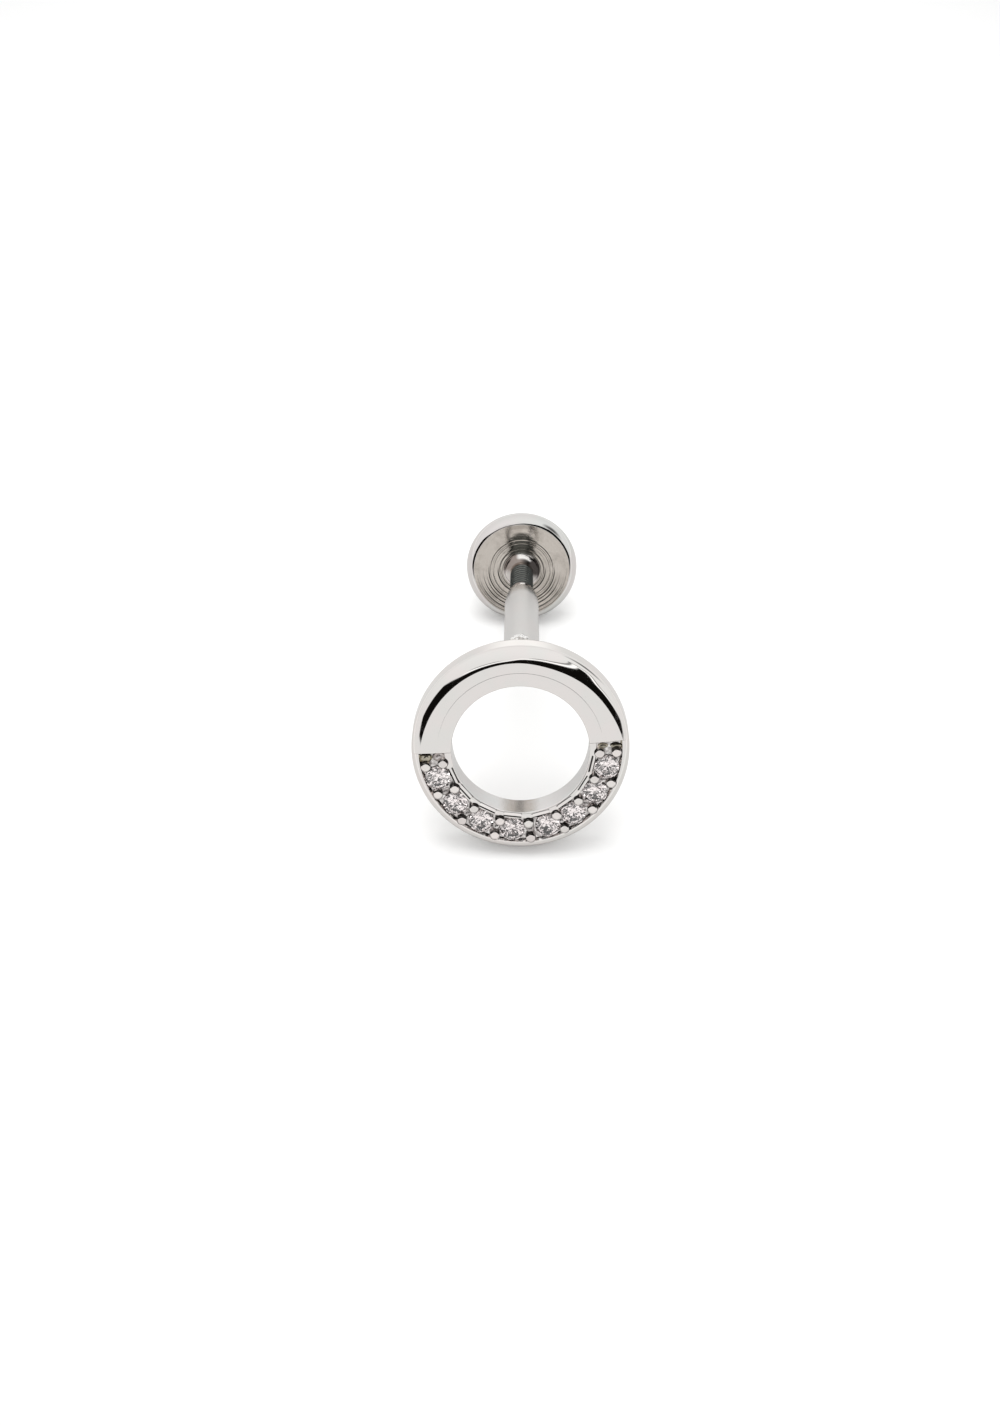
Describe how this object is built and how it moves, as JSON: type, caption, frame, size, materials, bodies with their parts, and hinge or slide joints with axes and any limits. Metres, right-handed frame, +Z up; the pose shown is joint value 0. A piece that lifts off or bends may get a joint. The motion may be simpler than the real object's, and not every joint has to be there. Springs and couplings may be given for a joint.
{
  "type": "flat-back piercing stud with an open circle front",
  "caption": "Flat-back piercing stud: an open circle front, half of it set with small round stones, on a post with a screw-on disc back.",
  "frame": {"origin": "on the ground, under the middle of the bounding box of the stud as it lies at rest", "axes": "+Z up from the ground; the circle faces -Y and a little upwards, and the post runs back along +Y and down to the disc; +X is to the viewer's right"},
  "size_m": [0.0074, 0.013, 0.0068],
  "materials": {
    "polished_metal": "high polish, rhodium bright",
    "stone": "round brilliant cut, near colourless with a faint lilac cast",
    "turned_metal": "fine lathe rings on the flat face, polished rounded edge"
  },
  "bodies": {
    "root": {"hoop_and_post": "polished_metal", "stone_1": "stone", "stone_2": "stone", "stone_3": "stone", "stone_4": "stone", "stone_5": "stone", "stone_6": "stone", "stone_7": "stone", "stone_8": "stone"},
    "back": {"screw_back": "turned_metal"}
  },
  "joints": [
    {"name": "screw_travel", "type": "slide", "parent": "root", "child": "back", "axis": [0, -0.8914, 0.4532], "range_m": [-0.0025, 0.00255]}
  ]
}
